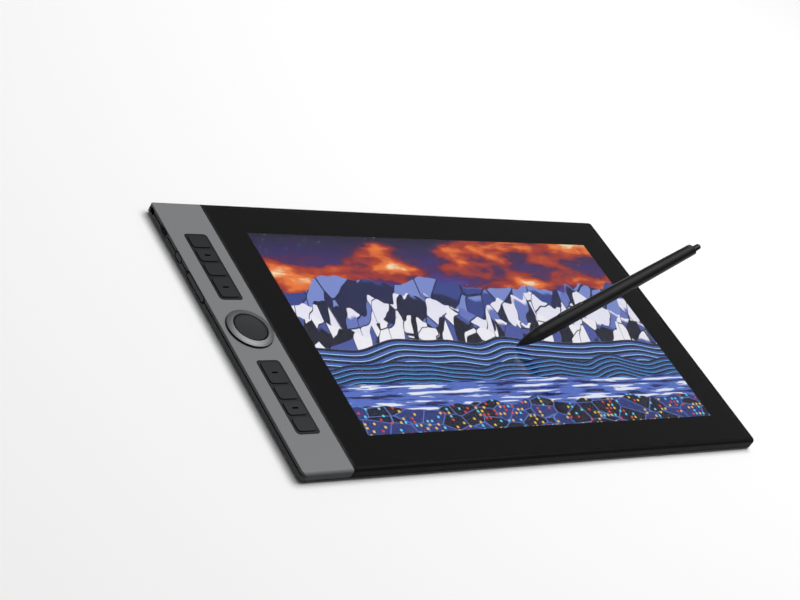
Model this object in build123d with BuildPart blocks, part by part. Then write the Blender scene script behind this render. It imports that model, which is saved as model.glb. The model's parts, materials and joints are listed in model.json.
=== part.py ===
from build123d import *
from math import cos, radians, sin
import os

# A thin pen display with a key strip along its left end, and its stylus held over the glass
# with the nib on it, as a hand holds it. Millimetres. +X runs right along the long side, +Y
# away from the user, +Z up out of the screen. The origin is the middle of the plane that the
# rubber strips stand on.

os.makedirs("parts", exist_ok=True)

# Body
body_length = 443.0
body_depth = 252.0
body_height = 9.0
foot_height = 1.0
corner_radius = 3.4
edge_roll = 2.5
end_edge_radius = 0.5
top_z = foot_height + body_height
half_length = body_length / 2
half_depth = body_depth / 2

# Rear cover, whose tongue stands inside the walls of the panel and the frame
floor_thickness = 1.2
end_floor_thickness = 2.0
end_bevel_width = 5.0
end_bevel_height = 2.2
long_bevel = 0.4
end_wall_thickness = 1.8
tongue_inset = 1.0
tongue_side_inset = 1.3
tongue_thickness = 1.0
tongue_root = 0.5
tongue_top = 7.3
end_lip_top = 8.0
end_lip_margin = 3.7
end_parting_z = top_z - 3.3
end_groove_height = 0.7
long_parting_z = top_z - 7.25
long_groove_height = 0.35
end_wall_start = half_length - 3.6
floor_z = foot_height + floor_thickness
end_floor_z = foot_height + end_floor_thickness
floor_margin = 6.0
rib_thickness = 1.0
rib_rows = (-90.0, -30.0, 30.0, 90.0)
rib_columns = (-125.0, -50.0, 0.0, 50.0, 125.0, 190.0)
rib_span = (376.0, 220.0)

# Key panel and front frame
panel_width = 40.6
panel_thickness = 1.4
panel_left = -half_length
panel_right = panel_left + panel_width
panel_under = top_z - panel_thickness
panel_middle = (panel_left + panel_right) / 2
skirt_z = long_parting_z + long_groove_height
end_skirt_z = end_parting_z + end_groove_height
skirt_thickness = 1.2
end_skirt_thickness = 0.9
skirt_corner = 1.6
seam_gap = 0.4
frame_left = panel_right + seam_gap
ledge_thickness = 1.2
pocket_clearance = 0.1
pocket_corner = 1.6

# Screen
active_length = 344.16
active_depth = 193.59
active_x = 18.9
active_y = -0.5
glass_thickness = 1.1
glass_corner = 1.5
glass_bevel_width = 1.2
glass_bevel_height = 0.44
glass_left = frame_left + 0.2
glass_right = half_length - 4.9
glass_half_depth = half_depth - 3.1
glass_z = top_z - glass_thickness
ink_thickness = 0.1
tape_thickness = 0.2
ledge_top = glass_z - ink_thickness - tape_thickness
ledge_under = ledge_top - ledge_thickness
window = (-165.0, 203.0, -112.0, 112.0)

# Display stack, from the cell down to the chassis plate
adhesive_thickness = 0.1
cell_top = ledge_top + 0.1
cell_thickness = 1.1
cell_size = (351.0, 206.0)
cell_y = -1.0
display_frame_thickness = 0.4
display_frame_outer = (353.8, 208.8)
display_frame_inner = (347.0, 198.0)
diffuser_thickness = 0.6
guide_thickness = 1.2
guide_size = (352.0, 202.0)
guide_y = cell_y + 2.5
reflector_thickness = 0.15
reflector_size = (353.0, 207.0)
tray_floor = 0.3
tray_size = (355.0, 210.0)
tray_wall = 0.4
digitizer_thickness = 0.4
digitizer_size = (366.0, 216.0)
shield_thickness = 0.15
chassis_thickness = 0.8
chassis_size = (388.0, 236.0)
chassis_corner = 4.0
chassis_window = (60.0, 46.0)
chassis_windows_x = (-87.5, 0.0, 87.5)

cell_z = cell_top - cell_thickness
display_frame_z = cell_z - display_frame_thickness
diffuser_z = display_frame_z - diffuser_thickness
guide_z = diffuser_z - guide_thickness
reflector_z = guide_z - reflector_thickness
tray_z = reflector_z - tray_floor
digitizer_z = tray_z - digitizer_thickness
shield_z = digitizer_z - shield_thickness
chassis_z = shield_z - chassis_thickness

# LED bar along the front edge of the light guide
led_count = 24
led_pitch = 14.0
led_size = (3.0, 1.2, 0.8)
led_bar_size = (350.0, 4.8, 0.2)
led_bar_y = -102.0
led_y = -100.3

# Keys and dial, on one line along the strip, level with the screen's middle
strip_x = -200.2
strip_y = active_y
key_width = 15.0
short_key = 11.6
long_key = 18.7
key_gap = 2.35
key_corner = 2.6
key_rise = 0.7
key_edge = 0.2
key_clearance = 0.15
key_group_y = 60.85
key_flange_z = 7.4
key_flange_thickness = 0.5
key_flange_lip = 0.9
key_wall = 1.6
key_roof = 0.6
plunger_radius = 1.5
plunger_z = 7.9
mark_size = (4.8, 0.9)
mark_depth = 0.25
window_width = 19.2
window_length = 65.4
window_radius = 3.0
surround_top = top_z - 0.1
surround_flange_z = 8.0
surround_lip = 1.2
surround_clearance = 0.15
key_board_z = 5.9
key_board_thickness = 0.8
key_board_size = (24.4, 202.0)
dome_radius = 2.6
dome_height = 0.45
dial_hole_radius = 17.65
dial_radius = 17.45
dial_inner_radius = 12.6
dial_inner_edge = (0.6, 0.5)
dial_flange_radius = 19.3
dial_flange_z = 7.6
dial_rim_z = top_z + 1.55
dial_top_z = top_z + 2.85
disc_radius = 12.0
disc_bottom_z = 11.0
disc_top_z = 12.62
dish_z = 12.1
dish_depth = 0.35
dial_base_radius = 18.5

# Left wall: heights and places of the ports and the side buttons
port_y = 98.2
port_size = (11.5, 4.75)
port_z = 6.9
inlet_y = 119.0
inlet_size = (6.0, 4.1)
inlet_z = 6.5
side_centre_z = 6.8
side_button_height = 4.8
side_button_corner = 2.0
side_gap = 0.4
power_y = 72.2
power_length = 9.6
rocker_y = 42.8
rocker_length = 30.2
rocker_nub = 10.0
side_button_depth = 1.95
side_flange_x = -half_length + side_button_depth
side_flange_thickness = 0.5
side_flange_height = 4.2
side_flange_z = 6.35
side_nub_radius = 0.9
wall_cut_depth = 3.4
panel_cut_depth = 3.6

# Boards behind the left wall
board_z = 3.8
board_thickness = 1.0
board_top = board_z + board_thickness
main_board_size = (34.2, 102.0)
main_board_at = (-201.3, 71.2)
chip_height = 0.7
can_height = 0.8
side_board_x = -216.9
side_board_thickness = 0.8
side_board_top = 8.2
side_switch_reach = 1.0

# Sockets
socket_x = -220.2
socket_outer = (8.94, 3.2, 1.5)
socket_inner = (8.34, 2.6, 1.25)
socket_length = 7.4
socket_leg = 0.5
tongue_size = (6.7, 0.7)
bezel_front = 0.6
bezel_hole = (9.1, 3.36, 1.6)
bezel_flange = (13.4, 3.3, 1.2)
inlet_block = (5.8, 3.4, 6.6)
inlet_slot = (4.8, 1.7)
inlet_x = -219.5

# Fasteners, drawn with few sides because there are many
screw_sides = 6
post_sides = 8
shank_radius = 0.7
post_hole_radius = 0.8
plate_hole_radius = 1.0
frame_post_radius = 2.6
panel_post_radius = 1.9
board_post_radius = 2.3
cover_boss_radius = 3.5
frame_head = (1.5, 0.6)
board_head = (1.4, 0.5)
cover_head = (1.75, 0.8)
cover_countersink = (2.0, 0.9, 1.1)

# Rubber strips
pad_y = 58.0
pad_size = (200.0, 8.0)
pad_recess = 0.4
pad_edge = 0.3

# Stylus
pen_length = 166.0
pen_heading = 3.57
pen_tilt = 37.26
pen_roll = 32.0
pen_tip_xy = (32.96, -20.12)
nib_clearance = 0.05
nib_radius = 0.75
nib_shoulder = (0.25, 0.55)
nib_length = 29.5
pen_nose_end = 17.0
pen_nose_radius = 5.1
pen_grip_radius = 5.6
pen_joint_at = 84.0
pen_tail_at = 160.0
pen_tail_radius = 4.5
pen_wall = 1.0
pen_rocker_from = 38.8
pen_rocker_to = 60.4
pen_rocker_width = 3.6
pen_rocker_rise = 0.6
rocker_pivot_up = 3.5


def keep(piece, name):
    """Labels a finished piece and writes it to a file of its own."""
    piece.part.label = name
    export_step(piece.part, f"parts/{name}.step")


def sheet(name, size, centre, bottom, thickness):
    """Makes one flat sheet of the screen's stack."""
    with BuildPart() as piece:
        with BuildSketch(Plane.XY.offset(bottom)):
            with Locations(centre):
                Rectangle(*size)
        extrude(amount=thickness)
    keep(piece, name)


def ring(name, outer, corner, inner, inner_centre, centre, bottom, thickness):
    """Makes one flat rectangular ring of the screen's stack."""
    with BuildPart() as piece:
        with BuildSketch(Plane.XY.offset(bottom)):
            with Locations(centre):
                RectangleRounded(*outer, corner)
            with Locations(inner_centre):
                Rectangle(*inner, mode=Mode.SUBTRACT)
        extrude(amount=thickness)
    keep(piece, name)


# Openings in the left wall for the ports and the side buttons
with BuildSketch(Plane.YZ.offset(-half_length - 1)) as wall_openings:
    with Locations((port_y, port_z)):
        SlotOverall(*port_size)
    with Locations((inlet_y, inlet_z)):
        SlotOverall(*inlet_size)
    with Locations((power_y, side_centre_z)):
        RectangleRounded(power_length, side_button_height, side_button_corner)
    with Locations((rocker_y, side_centre_z)):
        RectangleRounded(rocker_length, side_button_height, side_button_corner)

# Rear cover
# The pads' screws go up through the floor into the chassis plate.
cover_screw_x = (-75.0, -25.0, 25.0, 75.0)
cover_screws_at = [(x, y) for x in cover_screw_x for y in (-pad_y, pad_y)]
board_screws_at = [(-212.0, 27.0), (-189.0, 27.0), (-189.0, 84.0), (-189.0, 117.0)]
panel_supports_at = [(-216.5, y) for y in (-110.0, -60.0, -25.0, 17.0)] + [(-189.5, -110.0)]
frame_posts_at = [(x, y) for x in (-171.0, 208.5) for y in (-100.0, -50.0, 0.0, 50.0, 100.0)]
frame_posts_at += [(x, y) for x in (-100.0, -20.0, 60.0, 140.0) for y in (-114.5, 114.5)]
panel_posts_at = [(x, y) for x in (-210.0, -190.6) for y in (-98.0, -24.0, 24.0, 98.0)]

with BuildPart() as rear_cover:
    with BuildSketch(Plane.XY.offset(foot_height)):
        RectangleRounded(body_length, body_depth, corner_radius)
    extrude(amount=end_parting_z - foot_height)
    with BuildSketch(Plane.XY.offset(long_parting_z)):
        with Locations((0, half_depth), (0, -half_depth)):
            Rectangle(2 * end_wall_start, 4 * skirt_thickness)
    extrude(amount=end_parting_z - long_parting_z, mode=Mode.SUBTRACT)
    with BuildSketch(Plane.XY.offset(long_parting_z - tongue_root)):
        RectangleRounded(
            body_length - 2 * tongue_inset,
            body_depth - 2 * tongue_side_inset,
            corner_radius - tongue_inset,
        )
    extrude(amount=tongue_top - long_parting_z + tongue_root)
    with BuildSketch(Plane.XY.offset(end_parting_z)):
        with Locations((-half_length + (tongue_inset + end_wall_thickness) / 2, 0)):
            Rectangle(end_wall_thickness - tongue_inset, body_depth - 2 * end_lip_margin)
    extrude(amount=end_lip_top - end_parting_z)
    with BuildSketch(Plane.XZ):
        for side in (-1, 1):
            with BuildLine():
                Polyline(
                    (side * (half_length + 1), foot_height - 1),
                    (side * (half_length + 1), foot_height + end_bevel_height * 1.2),
                    (side * (half_length - end_bevel_width), foot_height),
                    (side * (half_length - end_bevel_width), foot_height - 1),
                    close=True,
                )
            make_face()
    extrude(amount=body_depth, both=True, mode=Mode.SUBTRACT)
    with BuildSketch(Plane.YZ):
        for side in (-1, 1):
            with BuildLine():
                Polyline(
                    (side * (half_depth + 1), foot_height - 1),
                    (side * (half_depth + 1), foot_height + long_bevel + 1),
                    (side * (half_depth - long_bevel - 1), foot_height - 1),
                    close=True,
                )
            make_face()
    extrude(amount=body_length, both=True, mode=Mode.SUBTRACT)
    with BuildSketch(Plane.XY.offset(end_floor_z)):
        RectangleRounded(
            body_length - 2 * end_wall_thickness,
            body_depth - 2 * tongue_side_inset - 2 * tongue_thickness,
            corner_radius - end_wall_thickness,
        )
    extrude(amount=top_z, mode=Mode.SUBTRACT)
    with BuildSketch(Plane.XY.offset(floor_z)):
        Rectangle(
            body_length - 2 * floor_margin,
            body_depth - 2 * tongue_side_inset - 2 * tongue_thickness,
        )
    extrude(amount=top_z, mode=Mode.SUBTRACT)
    with BuildSketch(Plane.XY.offset(floor_z)):
        with Locations(*[(active_x, y) for y in rib_rows]):
            Rectangle(rib_span[0], rib_thickness)
        with Locations(*[(x, 0) for x in rib_columns]):
            Rectangle(rib_thickness, rib_span[1])
        with Locations(*cover_screws_at):
            RegularPolygon(cover_boss_radius, post_sides)
    extrude(amount=chassis_z - floor_z)
    with BuildSketch(Plane.XY.offset(floor_z)):
        with Locations(*board_screws_at):
            RegularPolygon(board_post_radius, post_sides)
    extrude(amount=board_z - floor_z)
    with BuildSketch(Plane.XY.offset(floor_z)):
        with Locations(*panel_supports_at):
            RegularPolygon(board_post_radius, post_sides)
    extrude(amount=panel_under - floor_z)
    with BuildSketch(Plane.XY.offset(board_z)):
        with Locations(*board_screws_at):
            RegularPolygon(post_hole_radius, screw_sides)
    extrude(amount=-1.4, mode=Mode.SUBTRACT)
    with BuildSketch(Plane.XY.offset(foot_height)):
        with Locations((0, pad_y), (0, -pad_y)):
            SlotOverall(pad_size[0] + 0.2, pad_size[1] + 0.2)
    extrude(amount=pad_recess, mode=Mode.SUBTRACT)
    sink_radius, sink_depth, screw_bore = cover_countersink
    with BuildSketch(Plane.XY.offset(foot_height + pad_recess)):
        with Locations(*cover_screws_at):
            RegularPolygon(sink_radius, post_sides)
    extrude(amount=sink_depth, taper=45, mode=Mode.SUBTRACT)
    with BuildSketch(Plane.XY.offset(foot_height + pad_recess)):
        with Locations(*cover_screws_at):
            RegularPolygon(screw_bore, post_sides)
    extrude(amount=chassis_z, mode=Mode.SUBTRACT)
    extrude(wall_openings.sketch, amount=wall_cut_depth, mode=Mode.SUBTRACT)
keep(rear_cover, "rear_cover")

# Key panel
# Its front and back edges roll down into skirts, and its ends are crisp.
with BuildPart() as key_panel:
    with BuildSketch(Plane.XY.offset(skirt_z)):
        RectangleRounded(body_length, body_depth, corner_radius)
        with Locations((panel_middle, 0)):
            Rectangle(panel_width, body_depth, mode=Mode.INTERSECT)
    extrude(amount=top_z - skirt_z)
    with BuildSketch(Plane.YZ) as roll:
        with Locations((0, (top_z + skirt_z) / 2)):
            Rectangle(body_depth, top_z - skirt_z)
        fillet(roll.vertices().group_by(Axis.Y)[-1], edge_roll)
    extrude(amount=body_length, both=True, mode=Mode.INTERSECT)
    with BuildSketch(Plane.XZ) as ends:
        with Locations((panel_middle, (top_z + skirt_z) / 2)):
            Rectangle(panel_width, top_z - skirt_z)
        fillet(ends.vertices().group_by(Axis.Y)[-1], end_edge_radius)
    extrude(amount=body_depth, both=True, mode=Mode.INTERSECT)
    with BuildSketch(Plane.XY.offset(skirt_z)):
        with Locations((panel_left + end_skirt_thickness + panel_width / 2, 0)):
            Rectangle(panel_width, body_depth - 2 * skirt_thickness)
    extrude(amount=panel_under - skirt_z, mode=Mode.SUBTRACT)
    with BuildSketch(Plane.XY.offset(skirt_z)):
        with Locations((panel_left, 0)):
            Rectangle(2 * (half_length - end_wall_start), body_depth + 2)
    extrude(amount=end_skirt_z - skirt_z, mode=Mode.SUBTRACT)
    skirt_ends = key_panel.edges().filter_by(Axis.Y).filter_by_position(Axis.Z, skirt_z, skirt_z)
    fillet(skirt_ends, skirt_corner)
    with BuildSketch(Plane.XY.offset(panel_under - 1)):
        with Locations(*[(strip_x, strip_y + side * key_group_y) for side in (-1, 1)]):
            RectangleRounded(window_width, window_length, window_radius)
        with Locations((strip_x, strip_y)):
            Circle(dial_hole_radius)
    extrude(amount=panel_thickness + 2, mode=Mode.SUBTRACT)
    with BuildSketch(Plane.XY.offset(key_board_z + key_board_thickness)):
        with Locations(*panel_posts_at):
            RegularPolygon(panel_post_radius, post_sides)
            RegularPolygon(post_hole_radius, screw_sides, mode=Mode.SUBTRACT)
    extrude(until=Until.NEXT)
    extrude(wall_openings.sketch, amount=panel_cut_depth, mode=Mode.SUBTRACT)
keep(key_panel, "key_panel")

# Front frame
# The glass lies in its pocket on a ledge, and its posts stand on the chassis plate.
with BuildPart() as front_frame:
    with BuildSketch(Plane.XY.offset(skirt_z)):
        RectangleRounded(body_length, body_depth, corner_radius)
        with Locations(((frame_left + half_length) / 2, 0)):
            Rectangle(half_length - frame_left, body_depth, mode=Mode.INTERSECT)
    extrude(amount=top_z - skirt_z)
    rim = front_frame.faces().sort_by(Axis.Z)[-1].edges()
    fillet(rim.sort_by(Axis.X)[1:], edge_roll)
    pocket_right = glass_right + pocket_clearance
    with BuildSketch(Plane.XY.offset(ledge_top)):
        with Locations(((pocket_right - half_length) / 2, 0)):
            RectangleRounded(
                half_length + pocket_right,
                2 * glass_half_depth + 2 * pocket_clearance,
                pocket_corner,
            )
    extrude(amount=top_z - ledge_top, mode=Mode.SUBTRACT)
    with BuildSketch(Plane.XY.offset(skirt_z)):
        with Locations(((window[0] + window[1]) / 2, 0)):
            Rectangle(window[1] - window[0], window[3] - window[2])
    extrude(amount=top_z - skirt_z, mode=Mode.SUBTRACT)
    with BuildSketch(Plane.XY.offset(skirt_z)):
        with Locations((-end_skirt_thickness, 0)):
            RectangleRounded(body_length, body_depth - 2 * skirt_thickness, 2.0)
    extrude(amount=ledge_under - skirt_z, mode=Mode.SUBTRACT)
    with BuildSketch(Plane.XY.offset(skirt_z)):
        with Locations((half_length, 0)):
            Rectangle(2 * (half_length - end_wall_start), body_depth + 2)
    extrude(amount=end_skirt_z - skirt_z, mode=Mode.SUBTRACT)
    skirt_ends = front_frame.edges().filter_by(Axis.Y).filter_by_position(Axis.Z, skirt_z, skirt_z)
    fillet(skirt_ends, skirt_corner)
    with BuildSketch(Plane.XY.offset(ledge_under)):
        with Locations((panel_right - 1, 65), (panel_right - 1, -65)):
            Rectangle(8.0, 90.0)
    extrude(amount=ledge_thickness)
    post_z = chassis_z + chassis_thickness
    with BuildSketch(Plane.XY.offset(post_z)):
        with Locations(*frame_posts_at):
            RegularPolygon(frame_post_radius, post_sides)
            RegularPolygon(post_hole_radius, screw_sides, mode=Mode.SUBTRACT)
    extrude(amount=ledge_under - post_z)
keep(front_frame, "front_frame")

# Cover glass, bevelled along the seam beside the key panel
bevel_slope = glass_bevel_height / glass_bevel_width
with BuildPart() as cover_glass:
    with BuildSketch(Plane.XY.offset(glass_z)):
        with Locations(((glass_left + glass_right) / 2, 0)):
            RectangleRounded(glass_right - glass_left, 2 * glass_half_depth, glass_corner)
    extrude(amount=glass_thickness)
    with BuildSketch(Plane.XZ):
        with BuildLine():
            Polyline(
                (glass_left - 1, top_z - glass_bevel_height - bevel_slope),
                (glass_left + glass_bevel_width, top_z),
                (glass_left + glass_bevel_width, top_z + 1),
                (glass_left - 1, top_z + 1),
                close=True,
            )
        make_face()
    extrude(amount=body_depth, both=True, mode=Mode.SUBTRACT)
keep(cover_glass, "cover_glass")

# Screen stack, from the printed border down to the shield
glass_size = (glass_right - glass_left, 2 * glass_half_depth)
glass_middle = ((glass_left + glass_right) / 2, 0)
window_size = (window[1] - window[0], window[3] - window[2])
window_middle = ((window[0] + window[1]) / 2, 0)
cell_at = (active_x, cell_y)

ring("ink_border", (glass_size[0] - 0.6, glass_size[1] - 0.6), 1.0,
     (active_length + 0.6, active_depth + 0.6), (active_x, active_y),
     glass_middle, glass_z - ink_thickness, ink_thickness)
ring("glass_tape", (glass_size[0] - 2, glass_size[1] - 2), 0.5,
     (window_size[0] + 0.8, window_size[1] + 0.8), window_middle,
     glass_middle, ledge_top, tape_thickness)

with BuildPart() as optical_adhesive:
    with BuildSketch(Plane.XY.offset(cell_top)):
        with Locations(cell_at):
            Rectangle(*cell_size)
    extrude(amount=adhesive_thickness)
    with BuildSketch(Plane.XY.offset(cell_top + adhesive_thickness)):
        with Locations((active_x, active_y)):
            Rectangle(active_length + 0.5, active_depth + 0.5)
    extrude(amount=ink_thickness)
keep(optical_adhesive, "optical_adhesive")

sheet("lcd_cell", cell_size, cell_at, cell_z, cell_thickness)
ring("display_frame", display_frame_outer, 0.5, display_frame_inner, cell_at,
     cell_at, display_frame_z, display_frame_thickness)
sheet("diffuser_sheets", guide_size, (active_x, guide_y), diffuser_z, diffuser_thickness)
sheet("light_guide", guide_size, (active_x, guide_y), guide_z, guide_thickness)
sheet("reflector_sheet", reflector_size, cell_at, reflector_z, reflector_thickness)

with BuildPart() as led_bar:
    with BuildSketch(Plane.XY.offset(guide_z)):
        with Locations((active_x, led_bar_y)):
            Rectangle(led_bar_size[0], led_bar_size[1])
    extrude(amount=led_bar_size[2])
    with BuildSketch(Plane.XY.offset(guide_z + led_bar_size[2])):
        with Locations((active_x, led_y)):
            with GridLocations(led_pitch, 1.0, led_count, 1):
                Rectangle(led_size[0], led_size[1])
    extrude(amount=led_size[2])
keep(led_bar, "led_bar")

with BuildPart() as backlight_tray:
    with BuildSketch(Plane.XY.offset(tray_z)):
        with Locations(cell_at):
            Rectangle(*tray_size)
    extrude(amount=cell_z - tray_z)
    with BuildSketch(Plane.XY.offset(reflector_z)):
        with Locations(cell_at):
            Rectangle(tray_size[0] - 2 * tray_wall, tray_size[1] - 2 * tray_wall)
    extrude(amount=cell_z, mode=Mode.SUBTRACT)
keep(backlight_tray, "backlight_tray")

sheet("digitizer_board", digitizer_size, window_middle, digitizer_z, digitizer_thickness)
sheet("shield_sheet", digitizer_size, window_middle, shield_z, shield_thickness)

# Chassis plate, a stamped plate with lightening windows between its ribs
with BuildPart() as chassis_plate:
    with BuildSketch(Plane.XY.offset(chassis_z)):
        with Locations((active_x, 0)):
            RectangleRounded(*chassis_size, chassis_corner)
        with Locations(*[(x, 0) for x in chassis_windows_x]):
            Rectangle(*chassis_window, mode=Mode.SUBTRACT)
        with Locations(*cover_screws_at, *frame_posts_at):
            RegularPolygon(plate_hole_radius, screw_sides, mode=Mode.SUBTRACT)
    extrude(amount=chassis_thickness)
keep(chassis_plate, "chassis_plate")

# Boards
with BuildPart() as main_board:
    with BuildSketch(Plane.XY.offset(board_z)):
        with Locations(main_board_at):
            RectangleRounded(*main_board_size, 2.0)
        with Locations(*board_screws_at):
            RegularPolygon(plate_hole_radius, screw_sides, mode=Mode.SUBTRACT)
    extrude(amount=board_thickness)
keep(main_board, "main_board")

with BuildPart() as shield_can:
    with BuildSketch(Plane.XY.offset(board_top)):
        with Locations((-199.0, 58.0)):
            Rectangle(20.0, 28.0)
    extrude(amount=can_height)
    chamfer(shield_can.faces().sort_by(Axis.Z)[-1].edges(), 0.2)
keep(shield_can, "shield_can")

with BuildPart() as board_chips:
    with BuildSketch(Plane.XY.offset(board_top)):
        with Locations((-203.0, 36.0)):
            with GridLocations(9.0, 8.0, 2, 2):
                Rectangle(5.0, 4.0)
        with Locations((-199.0, 108.0)):
            with GridLocations(6.0, 7.0, 2, 2):
                Rectangle(3.5, 3.0)
    extrude(amount=chip_height)
keep(board_chips, "board_chips")

with BuildPart() as key_board:
    with BuildSketch(Plane.XY.offset(key_board_z)):
        with Locations((strip_x, strip_y)):
            Rectangle(*key_board_size)
            Circle(dial_flange_radius)
        with Locations(*panel_posts_at):
            RegularPolygon(plate_hole_radius, screw_sides, mode=Mode.SUBTRACT)
    extrude(amount=key_board_thickness)
keep(key_board, "key_board")

with BuildPart() as board_connector:
    with BuildSketch(Plane.XY.offset(board_top)):
        with Locations((-205.0, 84.0)):
            Rectangle(4.0, 12.0)
    extrude(amount=key_board_z - board_top)
keep(board_connector, "board_connector")


def key_rows():
    """Gives each key's name, middle and length, from the back of the panel to its front."""
    lengths = [short_key, short_key, short_key, long_key]
    span = sum(lengths) + 3 * key_gap
    rows = []
    for side, order in ((1, lengths), (-1, lengths[::-1])):
        edge = strip_y + side * key_group_y + span / 2
        for length in order:
            rows.append((f"key_{len(rows) + 1}", edge - length / 2, length))
            edge -= length + key_gap
    return rows


keys = key_rows()
marked_keys = ("key_2", "key_4", "key_5", "key_7")

# Domes, drawn pressed flat, one under each key
with BuildPart() as dome_switches:
    with BuildSketch(Plane.XY.offset(key_board_z + key_board_thickness)):
        with Locations(*[(strip_x, y) for _, y, _ in keys]):
            RegularPolygon(dome_radius, post_sides)
    extrude(amount=dome_height, taper=60)
keep(dome_switches, "dome_switches")

with BuildPart() as side_switch_board:
    with BuildSketch(Plane.YZ.offset(side_board_x)):
        with Locations((54.0, (board_top + side_board_top) / 2)):
            Rectangle(56.0, side_board_top - board_top)
    extrude(amount=side_board_thickness)
keep(side_switch_board, "side_switch_board")

with BuildPart() as side_switches:
    with BuildSketch(Plane.YZ.offset(side_board_x)):
        for y in (power_y, rocker_y - rocker_nub, rocker_y + rocker_nub):
            with Locations((y, side_centre_z)):
                Rectangle(3.6, 2.2)
    extrude(amount=-side_switch_reach)
keep(side_switches, "side_switches")

# Key surrounds: plates with a hole for each key, glued into the panel's windows from below
for place, sign in (("back", 1), ("front", -1)):
    group_y = strip_y + sign * key_group_y
    group_keys = [(y, length) for _, y, length in keys if y * sign > 0]
    with BuildPart() as surround:
        with BuildSketch(Plane.XY.offset(surround_flange_z)):
            with Locations((strip_x, group_y)):
                RectangleRounded(
                    window_width + 2 * surround_lip,
                    window_length + 2 * surround_lip,
                    window_radius + surround_lip,
                )
        extrude(amount=panel_under - surround_flange_z)
        with BuildSketch(Plane.XY.offset(panel_under)):
            with Locations((strip_x, group_y)):
                RectangleRounded(
                    window_width - 2 * surround_clearance,
                    window_length - 2 * surround_clearance,
                    window_radius - surround_clearance,
                )
        extrude(amount=surround_top - panel_under)
        with BuildSketch(Plane.XY.offset(surround_flange_z)):
            for key_y, length in group_keys:
                with Locations((strip_x, key_y)):
                    RectangleRounded(
                        key_width + 2 * key_clearance,
                        length + 2 * key_clearance,
                        key_corner + key_clearance,
                    )
        extrude(amount=top_z, mode=Mode.SUBTRACT)
    keep(surround, f"key_surround_{place}")

# Keys: flat caps with a fine edge, hollow below, with a plunger over the dome
key_top = top_z + key_rise
for name, key_y, length in keys:
    with BuildPart() as key:
        with BuildSketch(Plane.XY.offset(key_flange_z)):
            with Locations((strip_x, key_y)):
                RectangleRounded(key_width, length, key_corner)
        extrude(amount=key_top - key_flange_z)
        chamfer(key.faces().sort_by(Axis.Z)[-1].edges(), key_edge)
        with BuildSketch(Plane.XY.offset(key_flange_z)):
            with Locations((strip_x, key_y)):
                Rectangle(key_width + 2 * key_flange_lip, length - 2 * key_corner - 1)
        extrude(amount=key_flange_thickness)
        with BuildSketch(Plane.XY.offset(key_flange_z)):
            with Locations((strip_x, key_y)):
                Rectangle(key_width - 2 * key_wall, length - 2 * key_wall)
        extrude(amount=key_top - key_roof - key_flange_z, mode=Mode.SUBTRACT)
        with BuildSketch(Plane.XY.offset(plunger_z)):
            with Locations((strip_x, key_y)):
                RegularPolygon(plunger_radius, post_sides)
        extrude(amount=key_top - key_roof - plunger_z)
        if name in marked_keys:
            with BuildSketch(Plane.XY.offset(key_top)):
                with Locations((strip_x, key_y)):
                    SlotOverall(*mark_size)
            extrude(amount=-mark_depth, mode=Mode.SUBTRACT)
    keep(key, name)

# Dial: the encoder's fixed base, the turning ring and the fixed dished disc in its middle
dial_axis = Axis((strip_x, strip_y, 0), (0, 0, 1))
dial_plane = Plane((strip_x, strip_y, 0), x_dir=(1, 0, 0), z_dir=(0, -1, 0))
base_z = key_board_z + key_board_thickness
hub_radius = 9.0

with BuildPart() as dial_base:
    with BuildSketch(dial_plane):
        with BuildLine():
            Polyline(
                (0, base_z), (dial_base_radius, base_z), (dial_base_radius, base_z + 0.7),
                (hub_radius, base_z + 0.7), (hub_radius, disc_bottom_z), (0, disc_bottom_z),
                close=True,
            )
        make_face()
    revolve(axis=dial_axis)
keep(dial_base, "dial_base")

neck_radius = dial_radius - 0.5
with BuildPart() as dial_ring:
    with BuildSketch(dial_plane):
        with BuildLine():
            Polyline(
                (dial_inner_radius, dial_top_z - dial_inner_edge[1]),
                (dial_inner_radius, dial_flange_z),
                (dial_flange_radius, dial_flange_z),
                (dial_flange_radius, dial_flange_z + 0.6),
                (neck_radius, dial_flange_z + 0.6),
                (neck_radius, top_z + 0.3),
                (dial_radius, top_z + 0.5),
                (dial_radius, dial_rim_z - 0.15),
                (dial_radius - 0.12, dial_rim_z),
                (dial_radius - 1.5, dial_rim_z + 0.6),
                (dial_radius - 2.9, dial_rim_z + 1.05),
                (dial_inner_radius + dial_inner_edge[0], dial_top_z),
                close=True,
            )
        make_face()
    revolve(axis=dial_axis)
keep(dial_ring, "dial_ring")

dish_radius = disc_radius - 1.3
with BuildPart() as dial_disc:
    with BuildSketch(dial_plane):
        with BuildLine():
            Polyline(
                (0, dish_z), (0, disc_bottom_z), (disc_radius - 0.3, disc_bottom_z),
                (disc_radius, disc_bottom_z + 0.3), (disc_radius, disc_top_z - 0.22),
                (disc_radius - 0.3, disc_top_z), (disc_radius - 1.1, disc_top_z),
                (dish_radius, dish_z + dish_depth),
                (dish_radius * 0.75, dish_z + dish_depth * 0.55),
                (dish_radius * 0.4, dish_z + dish_depth * 0.15),
                close=True,
            )
        make_face()
    revolve(axis=dial_axis)
keep(dial_disc, "dial_disc")

# Sockets
bezel_x = -half_length + end_wall_thickness
with BuildPart() as usb_bezel:
    with BuildSketch(Plane.YZ.offset(-half_length + bezel_front)):
        with Locations((port_y, port_z)):
            SlotOverall(port_size[0] - 0.1, port_size[1] - 0.1)
    extrude(amount=end_wall_thickness - bezel_front)
    with BuildSketch(Plane.YZ.offset(bezel_x)):
        with Locations((port_y, port_z)):
            RectangleRounded(*bezel_flange)
    extrude(amount=0.9)
    with BuildSketch(Plane.YZ.offset(-half_length)):
        with Locations((port_y, port_z)):
            RectangleRounded(*bezel_hole)
    extrude(amount=5, mode=Mode.SUBTRACT)
keep(usb_bezel, "usb_bezel")

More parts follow.
